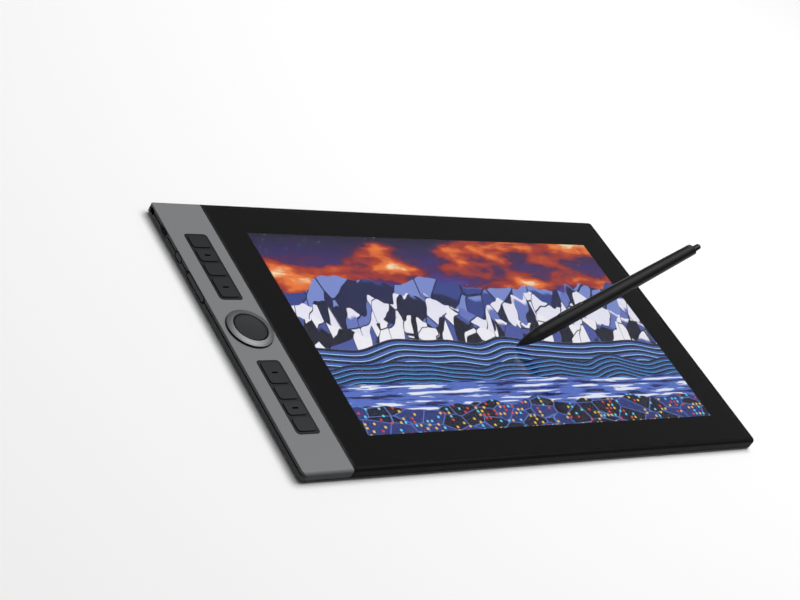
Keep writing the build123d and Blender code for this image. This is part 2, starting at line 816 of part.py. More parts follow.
with BuildPart() as usb_socket:
    with BuildSketch(Plane.YZ.offset(socket_x)):
        with Locations((port_y, port_z)):
            RectangleRounded(*socket_outer)
    extrude(amount=socket_length)
    with BuildSketch(Plane.YZ.offset(socket_x + 2.0)):
        with Locations((port_y, (board_top + port_z) / 2)):
            Rectangle(socket_outer[0], port_z - board_top)
    extrude(amount=socket_length - 2.0)
    with BuildSketch(Plane.YZ.offset(socket_x)):
        with Locations((port_y, (board_top + port_z - socket_outer[1] / 2) / 2)):
            Rectangle(socket_outer[0] - 2 * socket_leg, port_z - socket_outer[1] / 2 - board_top)
        with Locations((port_y, port_z)):
            RectangleRounded(*socket_inner)
    extrude(amount=socket_length - 0.6, mode=Mode.SUBTRACT)
keep(usb_socket, "usb_socket")

with BuildPart() as usb_tongue:
    with BuildSketch(Plane.YZ.offset(socket_x + 0.8)):
        with Locations((port_y, port_z)):
            Rectangle(*tongue_size)
    extrude(amount=socket_length - 1.4)
    chamfer(usb_tongue.faces().sort_by(Axis.X)[0].edges(), 0.2)
keep(usb_tongue, "usb_tongue")

with BuildPart() as power_inlet:
    with BuildSketch(Plane.YZ.offset(inlet_x)):
        with Locations((inlet_y - 0.5, board_top + inlet_block[1] / 2)):
            Rectangle(inlet_block[0], inlet_block[1])
    extrude(amount=inlet_block[2])
    with BuildSketch(Plane.YZ.offset(inlet_x)):
        with Locations((inlet_y - 0.5, inlet_z)):
            SlotOverall(*inlet_slot)
    extrude(amount=inlet_block[2] - 1.2, mode=Mode.SUBTRACT)
    with BuildSketch(Plane.YZ.offset(inlet_x + 0.5)):
        with Locations((inlet_y - 0.5, inlet_z)):
            Rectangle(3.0, 0.5)
    extrude(amount=inlet_block[2] - 1.6)
keep(power_inlet, "power_inlet")

# Side buttons: the power button slides in, the brightness rocker tips about its middle
button_height = side_button_height - 2 * side_gap
button_corner = side_button_corner - side_gap
with BuildPart() as power_button:
    with BuildSketch(Plane.YZ.offset(-half_length)):
        with Locations((power_y, side_centre_z)):
            RectangleRounded(power_length - 2 * side_gap, button_height, button_corner)
    extrude(amount=side_button_depth)
    chamfer(power_button.faces().sort_by(Axis.X)[0].edges(), 0.15)
    with BuildSketch(Plane.YZ.offset(side_flange_x)):
        with Locations((power_y, side_flange_z)):
            Rectangle(power_length + 2.0, side_flange_height)
    extrude(amount=side_flange_thickness)
    with BuildSketch(Plane.YZ.offset(side_flange_x + side_flange_thickness)):
        with Locations((power_y, side_centre_z)):
            RegularPolygon(side_nub_radius, post_sides)
    extrude(amount=0.55)
keep(power_button, "power_button")

with BuildPart() as brightness_rocker:
    with BuildSketch(Plane.YZ.offset(-half_length)):
        with Locations((rocker_y, side_centre_z)):
            RectangleRounded(rocker_length - 2 * side_gap, button_height, button_corner)
    extrude(amount=side_button_depth)
    chamfer(brightness_rocker.faces().sort_by(Axis.X)[0].edges(), 0.15)
    with Locations(Plane((-half_length, rocker_y + 9.5, side_centre_z), z_dir=(-1, 0, 0))):
        Hole(0.45, depth=0.25)
    with BuildSketch(Plane.YZ.offset(side_flange_x)):
        with Locations((rocker_y, side_flange_z)):
            Rectangle(6.0, side_flange_height)
    extrude(amount=side_flange_thickness)
    with BuildSketch(Plane.YZ.offset(side_flange_x)):
        with Locations(*[(rocker_y + side * rocker_nub, side_centre_z) for side in (-1, 1)]):
            RegularPolygon(side_nub_radius, post_sides)
    extrude(amount=1.05)
keep(brightness_rocker, "brightness_rocker")


def ribbon(name, points, thickness, width, middle_y):
    """Makes a flat cable that follows points in the XZ plane."""
    with BuildPart() as piece:
        with BuildSketch(Plane.XZ.offset(-(middle_y + width / 2))):
            with BuildLine():
                Polyline(*points)
            trace(line_width=thickness)
        extrude(amount=width)
    keep(piece, name)


flex_thickness = 0.12
flex_end = [(-184.6, board_top + 0.07), (-188.0, board_top + 0.07)]
digitizer_left = window_middle[0] - digitizer_size[0] / 2
flex_z = digitizer_z + digitizer_thickness + 0.07
ribbon("digitizer_flex",
       [(digitizer_left + 4, flex_z), (digitizer_left - 1, flex_z)] + flex_end,
       flex_thickness, 14.0, 36.0)
cell_left = active_x - cell_size[0] / 2
ribbon("display_flex",
       [(cell_left - 0.08, 8.1), (cell_left - 3.4, 8.1), (cell_left - 3.4, 5.3)] + flex_end,
       flex_thickness, 24.0, 70.0)

# Rubber strips and screws
with BuildPart() as rubber_strip:
    with BuildSketch(Plane.XY):
        SlotOverall(*pad_size)
    extrude(amount=foot_height + pad_recess)
    chamfer(rubber_strip.faces().sort_by(Axis.Z)[0].edges(), pad_edge)
for place, y in (("back", pad_y), ("front", -pad_y)):
    with BuildPart() as strip:
        with Locations((0, y)):
            add(rubber_strip.part)
    keep(strip, f"rubber_strip_{place}")

with BuildPart() as cover_screws:
    with BuildSketch(Plane.XY.offset(foot_height + pad_recess + 0.05)):
        with Locations(*cover_screws_at):
            RegularPolygon(cover_head[0], post_sides)
    extrude(amount=cover_head[1], taper=45)
    with BuildSketch(Plane.XY.offset(foot_height + pad_recess + 0.2)):
        with Locations(*cover_screws_at):
            RegularPolygon(shank_radius, screw_sides)
    extrude(amount=2.6)
keep(cover_screws, "cover_screws")

with BuildPart() as frame_screws:
    with BuildSketch(Plane.XY.offset(chassis_z - frame_head[1])):
        with Locations(*frame_posts_at):
            RegularPolygon(frame_head[0], screw_sides)
    extrude(amount=frame_head[1])
    with BuildSketch(Plane.XY.offset(chassis_z)):
        with Locations(*frame_posts_at):
            RegularPolygon(shank_radius, screw_sides)
    extrude(amount=3.0)
keep(frame_screws, "frame_screws")

with BuildPart() as board_screws:
    with BuildSketch(Plane.XY.offset(board_top)):
        with Locations(*board_screws_at):
            RegularPolygon(board_head[0], screw_sides)
    extrude(amount=board_head[1])
    with BuildSketch(Plane.XY.offset(board_top)):
        with Locations(*board_screws_at):
            RegularPolygon(shank_radius, screw_sides)
    extrude(amount=-2.2)
    with BuildSketch(Plane.XY.offset(key_board_z - board_head[1])):
        with Locations(*panel_posts_at):
            RegularPolygon(board_head[0], screw_sides)
    extrude(amount=board_head[1])
    with BuildSketch(Plane.XY.offset(key_board_z)):
        with Locations(*panel_posts_at):
            RegularPolygon(shank_radius, screw_sides)
    extrude(amount=2.2)
keep(board_screws, "board_screws")

# Stylus
# Its axis rises from the glass as in a hand, and it is rolled so that its rocker faces up
# and a little to the back.
heading = radians(pen_heading)
tilt = radians(pen_tilt)
roll_angle = radians(pen_roll)
nib_reach = nib_shoulder[1] * cos(tilt) - nib_shoulder[0] * sin(tilt)
pen_tip = Vector(pen_tip_xy[0], pen_tip_xy[1], top_z + nib_clearance + nib_reach)
pen_direction = Vector(cos(heading) * cos(tilt), sin(heading) * cos(tilt), sin(tilt))
level_side = Vector(-sin(heading), cos(heading), 0)
level_up = pen_direction.cross(level_side)
pen_up = level_up * cos(roll_angle) + level_side * sin(roll_angle)
pen_side = level_side * cos(roll_angle) - level_up * sin(roll_angle)
pen_axis = Axis(pen_tip, pen_direction)
pen_profile = Plane(pen_tip, x_dir=pen_direction, z_dir=-pen_side)
pen_top = Plane(pen_tip, x_dir=pen_direction, z_dir=pen_up)


def pen_radius(along):
    """Gives the barrel's outer radius behind the joint at a distance from the tip."""
    share = (along - pen_joint_at) / (pen_tail_at - pen_joint_at)
    return pen_grip_radius - share * (pen_grip_radius - pen_tail_radius)


nose_start = 2.4
nose_bore = 0.9
with BuildPart() as pen_nose:
    with BuildSketch(pen_profile):
        with BuildLine():
            Polyline(
                (nose_start, nose_bore), (nose_start, 1.2), (nose_start + 0.2, 1.5),
                (5.8, 2.55), (9.1, 3.5), (12.6, 4.4), (pen_nose_end, pen_nose_radius),
                (pen_nose_end, nose_bore), close=True,
            )
        make_face()
    revolve(axis=pen_axis)
keep(pen_nose, "pen_nose")

shell_bore = 1.0
shell_step = pen_nose_end + 4
rocker_window = (pen_rocker_to - pen_rocker_from, pen_rocker_width)
rocker_middle = (pen_rocker_from + pen_rocker_to) / 2
with BuildPart() as pen_front_shell:
    with BuildSketch(pen_profile):
        with BuildLine():
            Polyline(
                (pen_nose_end, shell_bore),
                (pen_nose_end, pen_nose_radius),
                (pen_nose_end + 3, pen_grip_radius - 0.15),
                (pen_nose_end + 14, pen_grip_radius),
                (pen_joint_at, pen_grip_radius),
                (pen_joint_at, pen_grip_radius - pen_wall),
                (shell_step, pen_grip_radius - pen_wall),
                (shell_step, shell_bore),
                close=True,
            )
        make_face()
    revolve(axis=pen_axis)
    with BuildSketch(pen_top.offset(2.5)):
        with Locations((rocker_middle, 0)):
            SlotOverall(rocker_window[0] + 0.6, rocker_window[1] + 0.6)
    extrude(amount=6, mode=Mode.SUBTRACT)
keep(pen_front_shell, "pen_front_shell")

# The barrel's end is closed, and its upper side slopes down to the tail's tab.
shoulder_from = 154.0
shoulder_knee = (156.5, 4.15)
shoulder_foot = 2.0
plug_from = 153.0
peg_hole_radius = 1.5
peg_depth = 4.0
with BuildPart() as pen_barrel:
    with BuildSketch(pen_profile):
        with BuildLine():
            Polyline(
                (pen_joint_at, pen_grip_radius),
                (pen_tail_at - 0.5, pen_radius(pen_tail_at - 0.5)),
                (pen_tail_at, pen_tail_radius - 0.5),
                (pen_tail_at, peg_hole_radius),
                (pen_tail_at - peg_depth, peg_hole_radius),
                (pen_tail_at - peg_depth, 0),
                (plug_from, 0),
                (plug_from, pen_radius(plug_from) - pen_wall),
                (pen_joint_at, pen_grip_radius - pen_wall),
                close=True,
            )
        make_face()
    revolve(axis=pen_axis)
    with BuildSketch(pen_profile):
        with BuildLine():
            Polyline(
                (shoulder_from, pen_radius(shoulder_from)),
                (pen_tail_at + 1, pen_radius(shoulder_from)),
                (pen_tail_at + 1, shoulder_foot),
                shoulder_knee,
                close=True,
            )
        make_face()
    extrude(amount=2 * pen_grip_radius, both=True, mode=Mode.SUBTRACT)
keep(pen_barrel, "pen_barrel")

# The tail's tab narrows to its round end, and lies below the axis, away from the rocker.
tab_root = 2.6
tab_end = 1.9
tab_under = -2.4
tab_thickness = 3.6
with BuildPart() as pen_tail:
    with BuildSketch(pen_top.offset(tab_under)) as tab:
        with BuildLine():
            Polyline(
                (pen_tail_at, -tab_root), (pen_length, -tab_end), (pen_length, tab_end),
                (pen_tail_at, tab_root), close=True,
            )
        make_face()
        fillet(tab.vertices().group_by(Axis.X)[-1], 1.7)
    extrude(amount=tab_thickness)
    chamfer(pen_tail.edges().group_by(Axis(pen_tip, pen_direction))[-1], 0.8)
    with BuildSketch(Plane(pen_tip + pen_direction * pen_tail_at, z_dir=pen_direction)):
        Circle(peg_hole_radius - 0.1)
    extrude(amount=0.2 - peg_depth)
keep(pen_tail, "pen_tail")

with BuildPart() as pen_nib:
    with BuildSketch(pen_profile):
        with BuildLine():
            Polyline(
                (0, 0), (0, 0.3), nib_shoulder, (nib_radius, nib_radius),
                (nib_length, nib_radius), (nib_length, 0), close=True,
            )
        make_face()
    revolve(axis=pen_axis)
keep(pen_nib, "pen_nib")

foot_up = 2.8
neck_up = 3.3
cap_up = 3.9
with BuildPart() as pen_rocker:
    with BuildSketch(pen_top.offset(foot_up)):
        with Locations((rocker_middle, 0)):
            Rectangle(5.0, 4.6)
    extrude(amount=neck_up - foot_up)
    with BuildSketch(pen_top.offset(neck_up)):
        with Locations((rocker_middle, 0)):
            Rectangle(5.0, rocker_window[1])
    extrude(amount=cap_up - neck_up)
    with BuildSketch(pen_top.offset(cap_up)):
        with Locations((rocker_middle, 0)):
            SlotOverall(*rocker_window)
    extrude(amount=pen_grip_radius + pen_rocker_rise - cap_up)
    crown = pen_rocker.faces().sort_by(Axis(pen_tip, pen_up))[-1].edges()
    chamfer(crown, 0.45)
keep(pen_rocker, "pen_rocker")

coil_length = 10.0
with BuildPart() as pen_coil:
    with BuildSketch(pen_profile):
        with Locations((shell_step + coil_length / 2, 2.0)):
            Rectangle(coil_length, 2.0)
    revolve(axis=pen_axis)
keep(pen_coil, "pen_coil")

pen_board_size = (40.0, 5.6, 0.8)
with BuildPart() as pen_board:
    with BuildSketch(pen_top.offset(-pen_board_size[2] / 2)):
        with Locations((shell_step + coil_length + pen_board_size[0] / 2, 0)):
            Rectangle(pen_board_size[0], pen_board_size[1])
    extrude(amount=pen_board_size[2])
    with BuildSketch(pen_top.offset(pen_board_size[2] / 2)):
        with Locations((rocker_middle - 7, 0), (rocker_middle + 7, 0)):
            Rectangle(3.0, 2.6)
    extrude(amount=3.2)
keep(pen_board, "pen_board")

# Joint places for the record, in metres
pivot = pen_tip + pen_direction * rocker_middle + pen_up * rocker_pivot_up
print("pen direction", [round(v, 6) for v in pen_direction])
print("pen rocker pivot", [round(v / 1000, 6) for v in pivot])
print("pen rocker axis", [round(v, 6) for v in pen_side])
print("keys", [(name, round(y, 3), length) for name, y, length in keys])
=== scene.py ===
import json
from math import pi, radians

import bpy
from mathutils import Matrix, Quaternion, Vector


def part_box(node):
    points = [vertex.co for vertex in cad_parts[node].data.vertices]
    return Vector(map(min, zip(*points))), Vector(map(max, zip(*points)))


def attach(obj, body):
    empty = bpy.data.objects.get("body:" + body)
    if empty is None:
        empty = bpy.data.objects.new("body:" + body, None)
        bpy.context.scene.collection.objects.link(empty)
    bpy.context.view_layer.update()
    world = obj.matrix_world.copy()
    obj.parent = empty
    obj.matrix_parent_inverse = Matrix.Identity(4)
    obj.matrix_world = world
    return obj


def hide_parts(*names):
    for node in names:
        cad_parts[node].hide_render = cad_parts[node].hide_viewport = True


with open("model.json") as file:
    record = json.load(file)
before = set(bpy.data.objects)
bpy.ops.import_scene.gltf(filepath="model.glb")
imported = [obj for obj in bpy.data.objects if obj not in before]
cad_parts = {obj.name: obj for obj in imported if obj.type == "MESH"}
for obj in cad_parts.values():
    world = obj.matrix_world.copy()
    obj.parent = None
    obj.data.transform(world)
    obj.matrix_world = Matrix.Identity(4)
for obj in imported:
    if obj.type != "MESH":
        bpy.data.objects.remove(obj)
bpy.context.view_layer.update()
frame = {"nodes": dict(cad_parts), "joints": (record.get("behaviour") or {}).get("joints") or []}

# Sizes are in metres, and the patterns' sizes in millimetres.
MM = 0.001

# Colours, in sRGB
STRIP_GREY = "808183"
COVER_GREY = "77787b"
FRAME_BLACK = "1a1a1b"
INK_BLACK = "252526"
KEY_GREY = "242528"
SURROUND_GREY = "16171a"
PORT_BLACK = "060607"
DIAL_GREY = "6e6f71"
DISC_GREY = "2a2b2d"
SIDE_KEY_GREY = "808184"
PEN_BLACK = "111113"
PEN_ROCKER_BLACK = "232325"
NOSE_BLACK = "161617"
RUBBER_BLACK = "202021"
# Painted shade in grooves, gaps and recesses, and also the dark of the keys' dash marks
SHADE_AND_MARK_BLACK = "050506"
FLOOR_WHITE = "fcfcfc"
FLOOR_SHADE = "3c3c3c"

# Where painted shade goes in the seam between panel and cover and on the inner faces: heights from
# and to, and depths from the walls, in millimetres
BODY_CORNER = 3.4
SEAM_DEPTH = 0.6
END_SEAM = (6.5, 7.6)
LONG_SEAM = (2.6, 3.25)
PANEL_INSET = 0.15
PANEL_INSIDE_BELOW_TOP = 2.0
COVER_INSET = 0.3
COVER_END = 6.0
COVER_STEP = 0.1
COVER_TONGUE_FROM = (2.4, 3.4)

# Side buttons on the left wall, in millimetres
SIDE_BUTTONS = ("power_button", "brightness_rocker")
BUTTON_MIDDLE = 6.8
BUTTON_HEIGHT = 4.0
BUTTON_CORNER = 1.6
BUTTON_GAP = 0.4
BUTTON_FLANGE = 1.4
BUTTON_LINE = 0.3
WINDOW_DEPTH = 1.0

# Keys and dial on the strip, in millimetres
SURROUND_LIP = 1.2
SURROUND_CORNER = 3.0
SURROUND_LINE = 0.8
MARKED_KEYS = ("key_2", "key_4", "key_5", "key_7")
MARK_REACH = (2.4, 0.75)
KEY_SPECULAR = 0.2
# The dial ring's face runs between these radii; inside and outside them the ring gets painted shade
DIAL_FACE = (12.8, 17.25)


def linear(code):
    """Turns an sRGB hex code into a linear colour with alpha."""
    parts = [int(code[i:i + 2], 16) / 255 for i in (0, 2, 4)]
    return [p / 12.92 if p <= 0.04045 else ((p + 0.055) / 1.055) ** 2.4 for p in parts] + [1.0]


def scaled(code, factor):
    """Gives a hex code's linear colour, made darker or lighter by factor."""
    return [min(1.0, part * factor) for part in linear(code)[:3]] + [1.0]


class Nodes:
    """Writes the node tree of one new material with short calls."""

    def __init__(self, name):
        self.material = bpy.data.materials.new(name)
        self.material.use_nodes = True
        self.tree = self.material.node_tree
        self.shader = self.tree.nodes["Principled BSDF"]
        coordinates = self.add("TexCoord")
        self.place = self.vector("SCALE", coordinates.outputs["Object"], scale=1 / MM)
        axes = self.add("SeparateXYZ")
        self.put(self.place, axes.inputs[0])
        self.x, self.y, self.z = axes.outputs

    def add(self, kind, **settings):
        node = self.tree.nodes.new("ShaderNode" + kind)
        for key, value in settings.items():
            setattr(node, key, value)
        return node

    def put(self, value, socket):
        if isinstance(value, bpy.types.NodeSocket):
            self.tree.links.new(value, socket)
        else:
            socket.default_value = value

    def set(self, **values):
        """Sets the shader's own sockets; an underscore stands for a space."""
        for key, value in values.items():
            self.put(value, self.shader.inputs[key.replace("_", " ")])

    def math(self, operation, a, b=0.0):
        node = self.add("Math", operation=operation)
        self.put(a, node.inputs[0])
        self.put(b, node.inputs[1])
        return node.outputs[0]

    def vector(self, operation, a, b=(0, 0, 0), scale=1.0):
        node = self.add("VectorMath", operation=operation)
        self.put(a, node.inputs[0])
        if operation == "SCALE":
            self.put(scale, node.inputs["Scale"])
        else:
            self.put(b, node.inputs[1])
        return node.outputs[0]

    def join(self, x, y, z=0.0):
        node = self.add("CombineXYZ")
        for value, socket in zip((x, y, z), node.inputs):
            self.put(value, socket)
        return node.outputs[0]

    def mix(self, factor, a, b):
        """Mixes two colours."""
        node = self.add("Mix", data_type="RGBA")
        self.put(factor, node.inputs[0])
        self.put(a, node.inputs[6])
        self.put(b, node.inputs[7])
        return node.outputs[2]

    def range(self, value, low, high, to_low=0.0, to_high=1.0, smooth=False):
        """Maps a value from low..high to to_low..to_high, clamped."""
        node = self.add("MapRange", interpolation_type="SMOOTHSTEP" if smooth else "LINEAR")
        for part, socket in zip((value, low, high, to_low, to_high), node.inputs):
            self.put(part, socket)
        return node.outputs[0]

    def noise(self, scale, where=None, detail=2.0, roughness=0.5, seed=0.0):
        """Gives 3D noise; scale is in blobs per millimetre."""
        node = self.add("TexNoise", noise_dimensions="4D")
        self.put(self.place if where is None else where, node.inputs["Vector"])
        self.put(seed, node.inputs["W"])
        self.put(scale, node.inputs["Scale"])
        self.put(detail, node.inputs["Detail"])
        self.put(roughness, node.inputs["Roughness"])
        return node.outputs[0]

    def line_noise(self, along, scale, detail=2.0, seed=0.0):
        """Gives noise that changes along one line only."""
        node = self.add("TexNoise", noise_dimensions="1D")
        self.put(self.math("ADD", self.math("MULTIPLY", along, scale), seed), node.inputs["W"])
        self.put(1.0, node.inputs["Scale"])
        self.put(detail, node.inputs["Detail"])
        return node.outputs[0]

    def cells(self, where, scale, feature="F1", output="Distance"):
        """Gives Voronoi cells; scale is in cells per millimetre."""
        node = self.add("TexVoronoi", feature=feature)
        self.put(where, node.inputs["Vector"])
        self.put(scale, node.inputs["Scale"])
        return node.outputs[output]

    def bump(self, height, depth_mm):
        """Lifts the surface by height, which runs from 0 to 1, times depth_mm."""
        node = self.add("Bump")
        self.put(depth_mm * MM, node.inputs["Distance"])
        self.put(height, node.inputs["Height"])
        self.put(node.outputs[0], self.shader.inputs["Normal"])


def toned(nodes, code, spread, scale):
    """A colour that drifts by spread either way, in soft patches."""
    patches = nodes.range(nodes.noise(scale, detail=3.0), 0.3, 0.7)
    return nodes.mix(patches, scaled(code, 1 - spread), scaled(code, 1 + spread))


def blasted_metal(name, code):
    """Anodised sheet with the fine sparkle of bead blasting."""
    nodes = Nodes(name)
    grain = nodes.noise(5.5, detail=1.0)
    drift = toned(nodes, code, 0.02, 0.02)
    sparkle = nodes.mix(nodes.range(grain, 0.3, 0.7), scaled(code, 0.9), scaled(code, 1.1))
    nodes.set(
        Base_Color=nodes.mix(0.5, drift, sparkle),
        Metallic=0.05,
        Roughness=nodes.range(grain, 0.2, 0.8, 0.35, 0.45),
        Specular_IOR_Level=0.03,
    )
    nodes.bump(grain, 0.012)
    return nodes


def moulded_plastic(name, code, roughness=0.5, grain_scale=3.0, depth_mm=0.01, specular=0.5):
    """Moulded plastic with a fine spark-eroded texture."""
    nodes = Nodes(name)
    pebbles = nodes.cells(nodes.place, grain_scale, feature="SMOOTH_F1")
    nodes.set(
        Base_Color=toned(nodes, code, 0.06, 0.05),
        Roughness=nodes.range(pebbles, 0.0, 0.8, roughness - 0.06, roughness + 0.06),
        Specular_IOR_Level=specular,
    )
    nodes.bump(pebbles, depth_mm)
    return nodes


def dress(nodes, *names):
    """Puts a material on carried-over CAD nodes."""
    for name in names:
        piece = frame["nodes"][name]
        piece.data.materials.clear()
        piece.data.materials.append(nodes.material)


def darken(nodes, mask, code):
    """Turns the base colour dark where mask is 1."""
    colour = nodes.shader.inputs["Base Color"].links[0].from_socket
    nodes.set(Base_Color=nodes.mix(mask, colour, linear(code)))
    return nodes


def depth_inside(nodes, sides, corner):
    """How far a point lies inside a rounded rectangle, in millimetres up to its corner radius.

    Each side is an axis output with the rectangle's middle and half length along it.
    """
    over = []
    for along, middle, half in sides:
        off = nodes.math("ABSOLUTE", nodes.math("SUBTRACT", along, middle))
        over.append(nodes.math("MAXIMUM", nodes.math("SUBTRACT", off, half - corner), 0))
    length = nodes.add("VectorMath", operation="LENGTH")
    nodes.put(nodes.join(*over), length.inputs[0])
    return nodes.math("SUBTRACT", corner, length.outputs["Value"])


def inset(nodes, rim):
    """1 on faces that lie more than rim millimetres inside the body's side walls."""
    sides = ((nodes.x, 0, half_body.x / MM), (nodes.y, 0, half_body.y / MM))
    return nodes.math("GREATER_THAN", depth_inside(nodes, sides, BODY_CORNER), rim)


def button_sides(nodes, name, margin=0.0):
    """The outline of a side button on the left wall, widened by margin."""
    low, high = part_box(name)
    length = high.y - low.y - 2 * BUTTON_FLANGE * MM
    return (
        (nodes.y, (low.y + high.y) / 2 / MM, length / 2 / MM + margin),
        (nodes.z, BUTTON_MIDDLE, BUTTON_HEIGHT / 2 + margin),
    )


def window_rims(nodes):
    """1 on the left wall close to the windows of the side buttons."""
    mask = nodes.math("LESS_THAN", nodes.x, -half_body.x / MM + WINDOW_DEPTH)
    margin = BUTTON_GAP + BUTTON_LINE
    rims = 0.0
    for name in SIDE_BUTTONS:
        sides = button_sides(nodes, name, margin)
        near = nodes.math("GREATER_THAN", depth_inside(nodes, sides, BUTTON_CORNER + margin), 0)
        rims = nodes.math("MAXIMUM", rims, near)
    return nodes.math("MULTIPLY", mask, rims)


def seam_line(nodes):
    """1 along the groove between panel and cover, a little wider than it is cut."""
    mask = 0.0
    for along, half, (low, high) in (
        (nodes.x, half_body.x / MM, END_SEAM),
        (nodes.y, half_body.y / MM, LONG_SEAM),
    ):
        outer = nodes.math("GREATER_THAN", nodes.math("ABSOLUTE", along), half - SEAM_DEPTH)
        above = nodes.math("GREATER_THAN", nodes.z, low)
        level = nodes.math("MULTIPLY", above, nodes.math("LESS_THAN", nodes.z, high))
        mask = nodes.math("MAXIMUM", mask, nodes.math("MULTIPLY", outer, level))
    return mask


def panel_metal():
    """The strip's metal, with painted shade on its inner faces, in the seam's groove and round the
    button windows.
    """
    nodes = blasted_metal("strip_metal", STRIP_GREY)
    low = nodes.math("LESS_THAN", nodes.z, panel_top / MM - PANEL_INSIDE_BELOW_TOP)
    # Painted shade round the button windows, in the groove and on the inner faces
    darken(nodes, window_rims(nodes), SHADE_AND_MARK_BLACK)
    darken(nodes, seam_line(nodes), SHADE_AND_MARK_BLACK)
    return darken(nodes, nodes.math("MULTIPLY", inset(nodes, PANEL_INSET), low), SHADE_AND_MARK_BLACK)


def cover_metal():
    """The rear cover's metal, with painted shade on the tongue inside the seam, in the groove and
    round the button windows.
    """
    nodes = blasted_metal("cover_metal", COVER_GREY)
    far_out = nodes.math("ABSOLUTE", nodes.x)
    end_start = half_body.x / MM - COVER_END
    seam_low = nodes.range(far_out, end_start, end_start + COVER_STEP, *COVER_TONGUE_FROM)
    high = nodes.math("GREATER_THAN", nodes.z, seam_low)
    # Painted shade round the button windows, in the groove and on the tongue inside the seam
    darken(nodes, window_rims(nodes), SHADE_AND_MARK_BLACK)
    darken(nodes, seam_line(nodes), SHADE_AND_MARK_BLACK)
    return darken(nodes, nodes.math("MULTIPLY", inset(nodes, COVER_INSET), high), SHADE_AND_MARK_BLACK)


def button_metal():
    """The side buttons' metal, with painted shade round the edge."""
    nodes = blasted_metal("side_key_metal", SIDE_KEY_GREY)
    rim = 1.0
    for name in SIDE_BUTTONS:
        depth = depth_inside(nodes, button_sides(nodes, name), BUTTON_CORNER)
        rim = nodes.math("MULTIPLY", rim, nodes.math("LESS_THAN", depth, BUTTON_LINE))
    # Painted shade round each button's edge, where the gap lies
    return darken(nodes, rim, SHADE_AND_MARK_BLACK)


def surround_plastic():
    """Satin plastic, with a painted shade line where it meets the metal."""
    nodes = moulded_plastic(
        "surround_plastic", SURROUND_GREY, roughness=0.45, grain_scale=4.0, specular=0.2,
    )
    edge = 1.0
    for name in ("key_surround_back", "key_surround_front"):
        low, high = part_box(name)
        middle = (low + high) / 2 / MM
        reach = (high - low) / 2 / MM
        sides = (
            (nodes.x, middle.x, reach.x - SURROUND_LIP),
            (nodes.y, middle.y, reach.y - SURROUND_LIP),
        )
        line = nodes.math("LESS_THAN", depth_inside(nodes, sides, SURROUND_CORNER), SURROUND_LINE)
        edge = nodes.math("MULTIPLY", edge, line)
    # Painted shade along the surround's outer edge, where it meets the metal
    return darken(nodes, edge, SHADE_AND_MARK_BLACK)


# Outer metal and plastic
half_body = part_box("rear_cover")[1]
panel_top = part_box("key_panel")[1].z
dress(panel_metal(), "key_panel")
dress(cover_metal(), "rear_cover")
dress(surround_plastic(), "key_surround_back", "key_surround_front")
dress(button_metal(), *SIDE_BUTTONS)
dress(moulded_plastic("frame_plastic", FRAME_BLACK, roughness=0.4, grain_scale=4.0, specular=0.035),
      "front_frame")
dress(moulded_plastic("port_plastic", PORT_BLACK, roughness=0.5), "usb_bezel", "power_inlet")
dress(moulded_plastic("foot_rubber", RUBBER_BLACK, roughness=0.8, grain_scale=2.0, depth_mm=0.03),
      "rubber_strip_back", "rubber_strip_front")


def key_plastic():
    """Satin key plastic, dark and dull in and round the moulded dash marks."""
    nodes = moulded_plastic(
        "key_plastic", KEY_GREY, roughness=0.4, grain_scale=4.0, specular=KEY_SPECULAR,
    )
    mark = 0.0
    for name in MARKED_KEYS:
        low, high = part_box(name)
        middle = (low + high) / 2 / MM
        inside = 1.0
        for along, centre, reach in zip((nodes.x, nodes.y), middle, MARK_REACH):
            off = nodes.math("ABSOLUTE", nodes.math("SUBTRACT", along, centre))
            inside = nodes.math("MULTIPLY", inside, nodes.math("LESS_THAN", off, reach))
        mark = nodes.math("MAXIMUM", mark, inside)
    nodes.set(Specular_IOR_Level=nodes.range(mark, 0, 1, KEY_SPECULAR, 0))
    return darken(nodes, mark, SHADE_AND_MARK_BLACK)


dress(key_plastic(), *[f"key_{number}" for number in range(1, 9)])


def turned_metal(name, code, roughness, pitch_mm, axis):
    """Metal turned on a lathe, with fine rings round a vertical axis."""
    nodes = Nodes(name)
    offset = nodes.vector("SUBTRACT", nodes.place, (axis.x / MM, axis.y / MM, 0))
    flat = nodes.vector("MULTIPLY", offset, (1, 1, 0))
    length = nodes.add("VectorMath", operation="LENGTH")
    nodes.put(flat, length.inputs[0])
    radius = length.outputs["Value"]
    wobble = nodes.line_noise(radius, 3.0, detail=2.0)
    rings = nodes.math("SINE", nodes.math("MULTIPLY", radius, 2 * pi / pitch_mm))
    height = nodes.range(nodes.math("ADD", rings, nodes.math("MULTIPLY", wobble, 2.0)), -1, 3)
    nodes.set(
        Base_Color=nodes.mix(wobble, scaled(code, 0.88), scaled(code, 1.12)),
        Metallic=0.5,
        Roughness=nodes.range(wobble, 0.3, 0.7, roughness - 0.04, roughness + 0.04),
        Anisotropic=0.3,
    )
    nodes.bump(height, 0.004)
    # Painted shade on the ring's outer wall and on its inner edge by the disc
    darken(nodes, nodes.math("GREATER_THAN", radius, DIAL_FACE[1]), SHADE_AND_MARK_BLACK)
    return darken(nodes, nodes.math("LESS_THAN", radius, DIAL_FACE[0]), SHADE_AND_MARK_BLACK)


dial_low, dial_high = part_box("dial_ring")
dial_centre = (dial_low + dial_high) / 2
dress(turned_metal("dial_metal", DIAL_GREY, roughness=0.42, pitch_mm=0.35, axis=dial_centre),
      "dial_ring")
dress(moulded_plastic("disc_plastic", DISC_GREY, roughness=0.42, grain_scale=5.0, specular=0.2),
      "dial_disc", "dial_base")


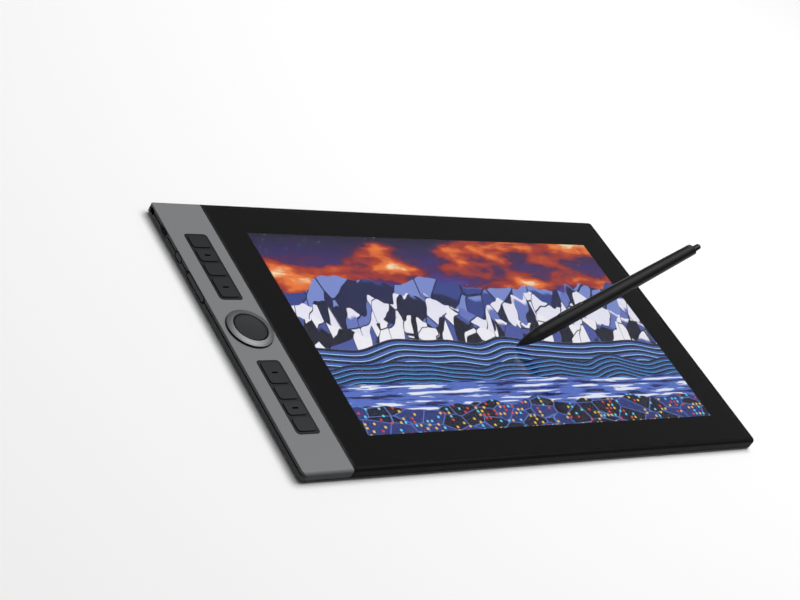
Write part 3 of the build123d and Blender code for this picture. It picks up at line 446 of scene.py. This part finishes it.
# Screen: glass, printed border and the lit picture
def etched_glass():
    """Clear glass with a finely etched top."""
    nodes = Nodes("etched_glass")
    etch = nodes.noise(9.0, detail=1.0)
    nodes.set(
        Base_Color=(0.96, 0.97, 0.98, 1),
        Transmission_Weight=1.0,
        IOR=1.5,
        Roughness=nodes.range(etch, 0.2, 0.8, 0.06, 0.12),
    )
    return nodes


def printed_ink():
    """Black ceramic print under the glass."""
    nodes = Nodes("printed_ink")
    speck = nodes.noise(2.0)
    nodes.set(
        Base_Color=nodes.mix(speck, scaled(INK_BLACK, 0.9), scaled(INK_BLACK, 1.1)),
        Roughness=nodes.range(speck, 0.3, 0.7, 0.5, 0.6),
    )
    return nodes


dress(etched_glass(), "cover_glass")
dress(printed_ink(), "ink_border", "glass_tape", "display_frame")

PICTURE_SIZE = (344.16, 193.59)
PICTURE_MIDDLE = Vector((18.9, -0.5))
FILM_CORNER = 0.4 * MM


def ridge(nodes, u, base, swing, scale, seed, detail=3.0):
    """The height of a ridge line at every u, in millimetres."""
    rough = nodes.math("SUBTRACT", nodes.line_noise(u, scale, detail, seed), 0.5)
    return nodes.math("ADD", nodes.math("MULTIPLY", rough, 2 * swing), base)


def below(nodes, v, line, edge=0.25):
    """1 below a line and 0 above it, with a soft edge."""
    return nodes.range(nodes.math("SUBTRACT", line, v), -edge, edge)


def facets(nodes, where, scale):
    """Random tones of flat facets, with thin lines between them."""
    tone = nodes.add("SeparateXYZ")
    nodes.put(nodes.cells(where, scale, output="Color"), tone.inputs[0])
    gap = nodes.cells(where, scale, feature="DISTANCE_TO_EDGE")
    return tone.outputs[0], nodes.range(gap, 0.015, 0.03, 1, 0)


def layered(nodes, colour, value, steps, smooth=False):
    """Lays colours over one another, each fading in where value runs from low to high."""
    for low, high, code in steps:
        colour = nodes.mix(nodes.range(value, low, high, smooth=smooth), colour, linear(code))
    return colour


def sky(nodes, u, v):
    """A dusk sky with stars, and glowing clouds drawn out along it."""
    flat = nodes.join(u, v)
    colour = nodes.mix(nodes.range(v, 20, PICTURE_SIZE[1] / 2), linear("5a3aa6"), linear("080b2c"))
    stars = nodes.range(nodes.cells(flat, 0.2), 0.05, 0.08, 1, 0)
    colour = nodes.mix(stars, colour, linear("f4f6ff"))
    drawn_out = nodes.vector("MULTIPLY", flat, (0.7, 1.6, 1))
    puffs = nodes.noise(0.016, where=drawn_out, detail=9.0, roughness=0.58, seed=3.0)
    steps = (
        (0.43, 0.52, "4c1240"), (0.48, 0.55, "b0301c"),
        (0.54, 0.6, "f47a2c"), (0.6, 0.65, "ffe2b4"),
    )
    return layered(nodes, colour, puffs, steps, smooth=True)


def peaks(nodes, colour, u, v):
    """Snowy ridges from far to near, cut into lit and shaded facets."""
    for base, swing, scale, seed, facet, codes in (
        (46.0, 30.0, 0.014, 2.0, 0.045, ("141a4c", "33438e", "7d8fd4")),
        (28.0, 48.0, 0.018, 5.6, 0.07, ("10153e", "6a7ac4", "f3f1ff")),
        (6.0, 36.0, 0.022, 8.3, 0.085, ("070b26", "4a58a4", "fbf9ff")),
    ):
        line = ridge(nodes, u, base, swing, scale, seed)
        depth = nodes.math("SUBTRACT", line, v)
        lean = nodes.join(nodes.math("ADD", u, nodes.math("MULTIPLY", depth, 0.5)), v)
        tone, gap = facets(nodes, nodes.vector("MULTIPLY", lean, (1, 0.45, 1)), facet)
        tone = nodes.math("SUBTRACT", tone, nodes.range(depth, 0, 40, 0, 0.25))
        steps = ((0.16, 0.18, codes[1]), (0.38, 0.4, codes[2]))
        rock = layered(nodes, linear(codes[0]), tone, steps)
        rock = nodes.mix(gap, rock, linear(codes[0]))
        colour = nodes.mix(below(nodes, v, line), colour, rock)
    return colour


def terraces(nodes, colour, u, v):
    """Terraced fields, striped along their own rise."""
    for base, swing, scale, seed, step, codes in (
        (-14.0, 14.0, 0.012, 1.4, 5.6, ("0a1238", "4460b8", "b4f0ff")),
        (-34.0, 12.0, 0.015, 6.1, 4.2, ("080e30", "34509e", "62ccf8")),
    ):
        line = ridge(nodes, u, base, swing, scale, seed, detail=1.0)
        depth = nodes.math("SUBTRACT", line, v)
        wave = nodes.math("FRACT", nodes.math("DIVIDE", depth, step))
        steps = ((0.4, 0.55, codes[1]), (0.88, 0.91, codes[2]))
        field = layered(nodes, linear(codes[0]), wave, steps)
        colour = nodes.mix(below(nodes, v, line), colour, field)
    return colour


def lake(nodes, colour, u, v):
    """A lake with level glints."""
    shore = ridge(nodes, u, -52.0, 6.0, 0.01, 4.4, detail=1.0)
    drawn_out = nodes.vector("MULTIPLY", nodes.join(u, v), (0.5, 7.0, 1))
    ripples = nodes.noise(0.05, where=drawn_out, detail=2.0)
    steps = ((0.42, 0.45, "5470c8"), (0.56, 0.565, "eef2ff"))
    water = layered(nodes, linear("141d5c"), ripples, steps)
    return nodes.mix(below(nodes, v, shore), colour, water)


def near_bank(nodes, colour, u, v):
    """The near bank with its cabins, whose windows are lit in three colours."""
    flat = nodes.join(u, v)
    grid = nodes.vector("DIVIDE", flat, (3.9, 3.3, 1))
    chance = nodes.add("TexWhiteNoise", noise_dimensions="2D")
    nodes.put(nodes.vector("FLOOR", grid), chance.inputs["Vector"])
    across = nodes.add("SeparateXYZ")
    nodes.put(nodes.vector("FRACTION", grid), across.inputs[0])
    shown = nodes.math("GREATER_THAN", chance.outputs["Value"], 0.7)
    for part, half_size in zip(across.outputs, (0.24, 0.3)):
        off_middle = nodes.math("ABSOLUTE", nodes.math("SUBTRACT", part, 0.5))
        shown = nodes.math("MULTIPLY", shown, nodes.math("LESS_THAN", off_middle, half_size))
    lamp = linear("ffd24a")
    for chance_above, code in ((0.84, "e8402a"), (0.93, "62dcff")):
        picked = nodes.math("GREATER_THAN", chance.outputs["Value"], chance_above)
        lamp = nodes.mix(picked, lamp, linear(code))
    tone, gap = facets(nodes, nodes.vector("MULTIPLY", flat, (1, 1.6, 1)), 0.05)
    ground = nodes.mix(nodes.range(tone, 0.5, 0.52), linear("070c28"), linear("26347a"))
    ground = nodes.mix(gap, ground, linear("5a74c4"))
    ground = nodes.mix(shown, ground, lamp)
    bank = ridge(nodes, u, -74.0, 13.0, 0.02, 7.7, detail=2.0)
    return nodes.mix(below(nodes, v, bank), colour, ground)


def picture():
    """A valley at dusk, laid down from far to near, in millimetres from its middle."""
    nodes = Nodes("lit_picture")
    u = nodes.math("SUBTRACT", nodes.x, PICTURE_MIDDLE.x)
    v = nodes.math("SUBTRACT", nodes.y, PICTURE_MIDDLE.y)
    colour = sky(nodes, u, v)
    for layer in (peaks, terraces, lake, near_bank):
        colour = layer(nodes, colour, u, v)
    nodes.set(
        Base_Color=(0.002, 0.002, 0.002, 1),
        Roughness=0.4,
        Specular_IOR_Level=0.05,
        Emission_Color=colour,
        Emission_Strength=1.0,
    )
    return nodes


def film(name, size, middle, bottom, thickness):
    """A thin flat sheet with rounded corners, sizes in metres."""
    mesh = bpy.data.meshes.new(name)
    piece = bpy.data.objects.new(name, mesh)
    bpy.context.scene.collection.objects.link(piece)
    steps = 4
    outline = []
    for turn, (side_x, side_y) in enumerate(((1, 1), (-1, 1), (-1, -1), (1, -1))):
        for step in range(steps + 1):
            spin = Quaternion((0, 0, 1), radians(90 * (turn + step / steps)))
            spoke = spin @ Vector((FILM_CORNER, 0, 0))
            outline.append((
                middle.x + side_x * (size[0] / 2 - FILM_CORNER) + spoke.x,
                middle.y + side_y * (size[1] / 2 - FILM_CORNER) + spoke.y,
            ))
    count = len(outline)
    points = [(x, y, bottom) for x, y in outline] + [(x, y, bottom + thickness) for x, y in outline]
    faces = [tuple(range(count - 1, -1, -1)), tuple(range(count, 2 * count))]
    faces += [(i, (i + 1) % count, (i + 1) % count + count, i + count) for i in range(count)]
    mesh.from_pydata(points, [], faces)
    return piece


adhesive_low, adhesive_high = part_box("optical_adhesive")
picture_gap = 0.01 * MM
lit_picture = film(
    "lit_picture",
    [side * MM for side in PICTURE_SIZE],
    PICTURE_MIDDLE * MM,
    adhesive_low.z + picture_gap,
    adhesive_high.z - adhesive_low.z - 2 * picture_gap,
)
lit_picture.data.materials.append(picture().material)
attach(lit_picture, "tablet")
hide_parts("optical_adhesive")

# Stylus
dress(moulded_plastic("pen_plastic", PEN_BLACK, roughness=0.4, grain_scale=6.0, depth_mm=0.004,
                      specular=0.4), "pen_front_shell", "pen_barrel", "pen_tail")
dress(moulded_plastic("nose_plastic", NOSE_BLACK, roughness=0.34, grain_scale=8.0, depth_mm=0.002),
      "pen_nose")
dress(moulded_plastic("pen_rocker_plastic", PEN_ROCKER_BLACK, roughness=0.34, grain_scale=6.0,
                      depth_mm=0.003), "pen_rocker")
dress(moulded_plastic("nib_plastic", NOSE_BLACK, roughness=0.5, grain_scale=8.0, depth_mm=0.002),
      "pen_nib")


# Inner pieces
def circuit_board(name, code, trace_code):
    """Solder mask with the faint lines of the copper under it."""
    nodes = Nodes(name)
    stretched = nodes.vector("MULTIPLY", nodes.place, (1.0, 0.12, 1.0))
    traces = nodes.range(nodes.cells(stretched, 0.9, feature="DISTANCE_TO_EDGE"), 0.02, 0.06, 1, 0)
    nodes.set(
        Base_Color=nodes.mix(traces, linear(code), linear(trace_code)),
        Roughness=nodes.range(nodes.noise(1.5), 0.3, 0.7, 0.3, 0.4),
    )
    nodes.bump(traces, 0.02)
    return nodes


def rolled_metal(name, code, roughness=0.32):
    """Cold rolled sheet with fine lines along its length."""
    nodes = Nodes(name)
    stretched = nodes.vector("MULTIPLY", nodes.place, (0.06, 2.2, 2.2))
    lines = nodes.noise(1.0, where=stretched, detail=3.0)
    nodes.set(
        Base_Color=nodes.mix(lines, scaled(code, 0.88), scaled(code, 1.1)),
        Metallic=0.9,
        Roughness=nodes.range(lines, 0.3, 0.7, roughness - 0.06, roughness + 0.06),
    )
    nodes.bump(lines, 0.006)
    return nodes


def wound_wire(name, code, pitch_mm):
    """Enamelled wire, wound in turns round the stylus."""
    nodes = Nodes(name)
    pen_axis = next(joint["axis"] for joint in frame["joints"] if joint["name"] == "nib_press")
    along = nodes.add("VectorMath", operation="DOT_PRODUCT")
    nodes.put(nodes.place, along.inputs[0])
    nodes.put(pen_axis, along.inputs[1])
    turns = nodes.math("SINE", nodes.math("MULTIPLY", along.outputs["Value"], 2 * pi / pitch_mm))
    height = nodes.range(turns, -1, 1)
    # The base colour is darker between the turns: painted shade
    nodes.set(
        Base_Color=nodes.mix(height, scaled(code, 0.5), scaled(code, 1.1)),
        Metallic=0.8,
        Roughness=nodes.range(height, 0, 1, 0.45, 0.3),
    )
    nodes.bump(height, 0.05)
    return nodes


dress(circuit_board("green_board", "153f26", "2a6a42"),
      "main_board", "key_board", "side_switch_board", "pen_board")
dress(circuit_board("sensor_board", "0e2a1c", "1d4a33"), "digitizer_board")
dress(rolled_metal("tray_steel", "b9bbbe"), "backlight_tray", "shield_can")
dress(rolled_metal("plate_metal", "9c9ea1", roughness=0.4), "chassis_plate", "shield_sheet")
dress(rolled_metal("contact_steel", "b4b6b9", roughness=0.28),
      "dome_switches", "side_switches", "usb_socket",
      "cover_screws", "frame_screws", "board_screws")
dress(moulded_plastic("chip_plastic", "1a1a1c", roughness=0.55), "board_chips", "board_connector",
      "usb_tongue")
dress(moulded_plastic("white_film", "e9eaec", roughness=0.6, depth_mm=0.003),
      "diffuser_sheets", "reflector_sheet", "light_guide")
dress(moulded_plastic("led_strip", "e6dfae", roughness=0.5), "led_bar")
dress(moulded_plastic("cell_glass", "23252c", roughness=0.2, depth_mm=0.001), "lcd_cell")
dress(moulded_plastic("flex_film", "8a5a20", roughness=0.35, depth_mm=0.003),
      "digitizer_flex", "display_flex")
dress(wound_wire("coil_copper", "b5653a", pitch_mm=0.4), "pen_coil")

# Studio, with the lamp's size and distance in metres and its power in watts
LAMP_TOWARDS = (0.3, 0.14, 0.944)
LAMP_DISTANCE = 1.9
LAMP_SIZE = 1.35
LAMP_POWER = 23

# Each band says where it starts and ends along a direction, and the light before and after
CEILING_BAND = (0.62, 1.0, 0.1, 1.15)
BACK_WALL_TOWARDS = (0.76, 0.64, 0)
BACK_WALL_BAND = (0.2, 0.8, 0.0, 0.08)


def area_lamp(name, towards, distance, size, power):
    """A soft round lamp that stands in the given direction and faces the object."""
    data = bpy.data.lights.new(name, "AREA")
    data.shape = "DISK"
    data.size = size
    data.energy = power
    lamp = bpy.data.objects.new(name, data)
    bpy.context.scene.collection.objects.link(lamp)
    direction = Vector(towards).normalized()
    lamp.location = direction * distance
    lamp.rotation_mode = "QUATERNION"
    lamp.rotation_quaternion = (-direction).to_track_quat("-Z", "Y")


def smooth_band(tree, value, band):
    """Turns a value into light, smoothly from the band's start to its end."""
    node = tree.nodes.new("ShaderNodeMapRange")
    node.interpolation_type = "SMOOTHSTEP"
    tree.links.new(value, node.inputs[0])
    for setting, socket in zip(band, list(node.inputs)[1:]):
        socket.default_value = setting
    return node.outputs[0]


def studio_world():
    """A dim room with a bright ceiling and a paler wall behind the object's right end."""
    world = bpy.data.worlds.new("studio")
    bpy.context.scene.world = world
    world.use_nodes = True
    tree = world.node_tree
    background = tree.nodes["Background"]
    background.inputs["Color"].default_value = (1, 1, 1, 1)
    coordinates = tree.nodes.new("ShaderNodeTexCoord")
    axes = tree.nodes.new("ShaderNodeSeparateXYZ")
    tree.links.new(coordinates.outputs["Generated"], axes.inputs[0])
    back = tree.nodes.new("ShaderNodeVectorMath")
    back.operation = "DOT_PRODUCT"
    tree.links.new(coordinates.outputs["Generated"], back.inputs[0])
    back.inputs[1].default_value = BACK_WALL_TOWARDS
    total = tree.nodes.new("ShaderNodeMath")
    tree.links.new(smooth_band(tree, axes.outputs[2], CEILING_BAND), total.inputs[0])
    tree.links.new(smooth_band(tree, back.outputs["Value"], BACK_WALL_BAND), total.inputs[1])
    tree.links.new(total.outputs[0], background.inputs["Strength"])


def pale_floor():
    """A wide table top under the object, white to the eye and dimmer in what it throws back."""
    mesh = bpy.data.meshes.new("floor")
    floor = bpy.data.objects.new("floor", mesh)
    bpy.context.scene.collection.objects.link(floor)
    reach = 40.0
    corners = [(-reach, -reach, 0), (reach, -reach, 0), (reach, reach, 0), (-reach, reach, 0)]
    mesh.from_pydata(corners, [], [(0, 1, 2, 3)])
    nodes = Nodes("floor_paint")
    rays = nodes.add("LightPath").outputs
    direct = nodes.math("MAXIMUM", rays["Is Camera Ray"], rays["Is Glossy Ray"])
    seen = nodes.math("MAXIMUM", direct, rays["Is Transmission Ray"])
    nodes.set(
        Base_Color=nodes.mix(seen, linear(FLOOR_SHADE), linear(FLOOR_WHITE)),
        Roughness=0.9,
        Specular_IOR_Level=0.0,
    )
    mesh.materials.append(nodes.material)


area_lamp("key_lamp", LAMP_TOWARDS, LAMP_DISTANCE, LAMP_SIZE, LAMP_POWER)
studio_world()
pale_floor()

# Camera, which leans over the near left corner as the photograph's does
CAMERA_PLACE = Vector((-0.87517, -0.66835, 0.69353))
CAMERA_TARGET = Vector((-0.05137, 0.02813, 0.010))
CAMERA_ROLL = 32.69
PHOTO_WIDTH = 800
HALF_PIXEL = 0.5 / PHOTO_WIDTH
FOCAL_LENGTH_IN_PIXELS = 1748.3

camera_data = bpy.data.cameras.new("camera")
camera_data.sensor_width = 36.0
camera_data.lens = FOCAL_LENGTH_IN_PIXELS * camera_data.sensor_width / PHOTO_WIDTH
camera_data.clip_start = 0.05
camera_data.clip_end = 200.0
camera_data.shift_x = -HALF_PIXEL
camera_data.shift_y = HALF_PIXEL
camera = bpy.data.objects.new("camera", camera_data)
bpy.context.scene.collection.objects.link(camera)
camera.location = CAMERA_PLACE
camera.rotation_mode = "QUATERNION"
unrolled = (CAMERA_TARGET - CAMERA_PLACE).to_track_quat("-Z", "Y")
camera.rotation_quaternion = unrolled @ Quaternion((0, 0, 1), radians(CAMERA_ROLL))
bpy.context.scene.camera = camera
bpy.context.scene.view_settings.view_transform = "Standard"
